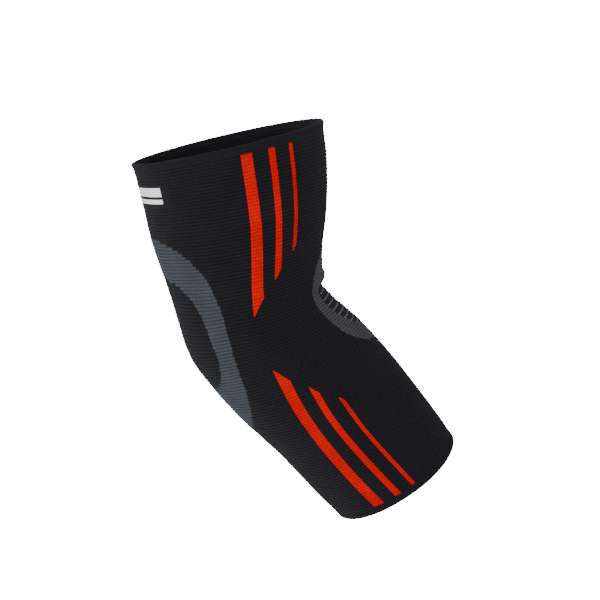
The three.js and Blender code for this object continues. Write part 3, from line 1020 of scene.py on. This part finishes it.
def stripe_piece(stripe, far):
    """Stripe beside its path, from its square end at the hem to its slanted point, where the edge
    nearer the crook is cut away evenly."""
    hem, tip, width = stripe["hem"], stripe["tip"], stripe["width"]
    length = float(length_beside(np.array(hem)))
    slant = stripe["slant"] * width / length
    hem_end = hem * (1 - STRIPE_TO_EDGE / length)
    ends = sorted((float(course_of(hem_end)), float(course_of(tip))))
    course = np.arange(math.floor(ends[0]), math.ceil(ends[1]))
    start, stop = np.maximum(course, ends[0]), np.minimum(course + 1, ends[1])
    whole = stop - start > SHORTEST_RIB

    def near_edges(along):
        centre = table_value(stripe["along"], stripe["around"], along)
        degrees = degrees_per_millimetre(along, centre)
        return centre - width / 2 * degrees, centre + width / 2 * degrees, degrees

    def edges(along):
        low, high, degrees = near_edges(along)
        to_tip = np.clip(np.abs(along - tip) / slant, 0, 1)
        low = low + (width - BLUNT_TIP) * (1 - to_tip) * degrees
        return (360 - high, 360 - low) if far else (low, high)

    def wale_at(along, around):
        low, high, _ = near_edges(along)
        near = 360 - around if far else around
        return (near - low) / (high - low) * stripe["wales"]

    side = "far" if far else "near"
    piece = zone_piece(f"{stripe['name']}_{side}_knit", (start[whole], stop[whole]), edges,
                       STRIPE_ROUNDING, STRIPE_COLUMNS, STRIPE_RELIEF, orange_knit(), wale_at)
    finish_piece(piece, "orange_knit", f"{stripe['name']}_{side}")


class ELBOW_OT_knit_stripes(SleeveOperator):
    """Knits the three stripes above and below the elbow, on the near and the far side."""
    bl_idname = "elbow_sleeve.knit_stripes"
    bl_label = "Knit the stripes"

    def execute(self, context):
        for stripe in STRIPES:
            stripe_piece(stripe, False)
            stripe_piece(stripe, True)
        return {"FINISHED"}


LABEL_COLUMNS = 60
LABEL_RELIEF = 0.35


class ELBOW_OT_knit_label(SleeveOperator):
    """Knits the smooth patch with two plain bars on the back of the upper part."""
    bl_idname = "elbow_sleeve.knit_label"
    bl_label = "Knit the label patch"

    def execute(self, context):
        ends = [round(float(course_of(LABEL[side]))) for side in ("top", "bottom")]
        course, rib = rib_rows(*ends)
        around = np.linspace(LABEL["from"], LABEL["to"], LABEL_COLUMNS)
        out = zone_height(rib, LABEL_RELIEF)
        tops = np.repeat(out[None, :, None], LABEL_COLUMNS, axis=2)
        piece = strips_piece("label_patch_knit", course[None, :, None], around[None, None, :],
                             tops, label_knit())
        finish_piece(piece, "label_knit", "label_patch")
        return {"FINISHED"}


class ELBOW_OT_declare_cloth(SleeveOperator):
    bl_idname = "elbow_sleeve.declare_cloth"
    bl_label = "Declare the cloth"

    def execute(self, context):
        return {"FINISHED"}


# Stage

def seen_brightness(tree, unseen, seen):
    """One brightness where the camera looks straight at something, another for its light."""
    path = tree.nodes.new("ShaderNodeLightPath")
    return calculate(tree, "MULTIPLY_ADD", path.outputs["Is Camera Ray"], seen - unseen, unseen)


def floor_material(glow):
    """Pale matt floor that looks as white as the room without throwing that light upwards."""
    material = bpy.data.materials.new("pale_floor")
    material.use_nodes = True
    tree = material.node_tree
    set_inputs(tree, tree.nodes["Principled BSDF"], {
        "Base Color": (0.86, 0.86, 0.86, 1.0), "Roughness": 0.8,
        "Emission Color": (1.0, 1.0, 1.0, 1.0),
        "Emission Strength": seen_brightness(tree, 0.0, glow)})
    return material


def area_light(name, place, size, power):
    """Round soft light that looks at the frame's origin."""
    light = bpy.data.lights.new(name, "AREA")
    light.shape = "DISK"
    light.size = size
    light.energy = power
    lamp = bpy.data.objects.new(name, light)
    lamp.location = place
    lamp.rotation_euler = (-Vector(place)).to_track_quat("-Z", "Y").to_euler()
    bpy.context.collection.objects.link(lamp)


# Picture: its width in pixels, the pixels to a millimetre at the elbow, where the frame's
# origin falls in it, and the width of the camera's sensor
PICTURE = 600
PIXELS_PER_MM = 1.72
ORIGIN_AT = (262.0, 320.0)
SENSOR = 36.0

# The floor's radius in metres, and its brightness as the camera sees it as a share of the room's
FLOOR_RADIUS = 8.0
FLOOR_SHARE = 0.93


class ELBOW_OT_set_stage(SleeveOperator):
    """Sets the camera, the pale floor, the white room and the soft lights."""
    bl_idname = "elbow_sleeve.set_stage"
    bl_label = "Set the stage"

    def execute(self, context):
        stage = context.scene.elbow_stage
        azimuth, elevation = stage.azimuth, stage.elevation
        back = Vector((math.sin(azimuth) * math.cos(elevation),
                       -math.cos(azimuth) * math.cos(elevation), math.sin(elevation)))
        right = Vector((math.cos(azimuth), math.sin(azimuth), 0))
        up = back.cross(right)
        beside = (PICTURE / 2 - ORIGIN_AT[0]) / PIXELS_PER_MM * MM
        above = (ORIGIN_AT[1] - PICTURE / 2) / PIXELS_PER_MM * MM
        target = right * beside + up * above
        camera = bpy.data.objects.new("camera", bpy.data.cameras.new("camera"))
        camera.matrix_world = (Matrix.Translation(target + back * stage.distance)
                               @ Matrix((right, up, back)).transposed().to_4x4())
        camera.data.sensor_width = SENSOR
        camera.data.lens = PIXELS_PER_MM * stage.distance / MM * SENSOR / PICTURE
        context.collection.objects.link(camera)
        context.scene.camera = camera

        floor_height = CAD_BOUNDS[0][2] - stage.floor_drop
        bpy.ops.mesh.primitive_circle_add(vertices=96, radius=FLOOR_RADIUS, fill_type="NGON",
                                          location=(0, 0, floor_height))
        floor = context.object
        floor.name = "floor"
        floor.data.materials.append(floor_material(stage.backdrop * FLOOR_SHARE))

        world = bpy.data.worlds.new("white_room")
        world.use_nodes = True
        tree = world.node_tree
        set_inputs(tree, tree.nodes["Background"], {
            "Color": (1.0, 1.0, 1.0, 1.0),
            "Strength": seen_brightness(tree, stage.world_light, stage.backdrop)})
        context.scene.world = world
        area_light("key_light", place=(-1.1, -1.0, 0.25), size=0.9, power=stage.key_power)
        area_light("fill_light", place=(1.2, -0.9, 0.5), size=1.0, power=stage.fill_power)
        return {"FINISHED"}


STEPS = (ELBOW_OT_set_stage, ELBOW_OT_knit_tube, ELBOW_OT_sew_hems, ELBOW_OT_knit_elbow_ring,
         ELBOW_OT_knit_crook, ELBOW_OT_knit_stripes, ELBOW_OT_knit_label,
         ELBOW_OT_declare_cloth)


class ELBOW_PT_panel(bpy.types.Panel):
    """Lists the steps and the settings in the sidebar."""
    bl_idname = "ELBOW_PT_panel"
    bl_label = "Elbow sleeve"
    bl_space_type = "VIEW_3D"
    bl_region_type = "UI"
    bl_category = "Elbow sleeve"

    def draw(self, context):
        for step in STEPS:
            self.layout.operator(step.bl_idname)
        for settings in (context.scene.elbow_sleeve, context.scene.elbow_stage):
            for name in settings.__annotations__:
                self.layout.prop(settings, name)


CLASSES = (SleeveSettings, StageSettings, *STEPS, ELBOW_PT_panel)


def register():
    for entry in CLASSES:
        bpy.utils.register_class(entry)
    bpy.types.Scene.elbow_sleeve = PointerProperty(type=SleeveSettings)
    bpy.types.Scene.elbow_stage = PointerProperty(type=StageSettings)


def unregister():
    del bpy.types.Scene.elbow_sleeve
    del bpy.types.Scene.elbow_stage
    for entry in reversed(CLASSES):
        bpy.utils.unregister_class(entry)


def main():
    register()
    for step in STEPS:
        getattr(bpy.ops.elbow_sleeve, step.bl_idname.split(".")[1])()


if __name__ == "__main__":
    main()
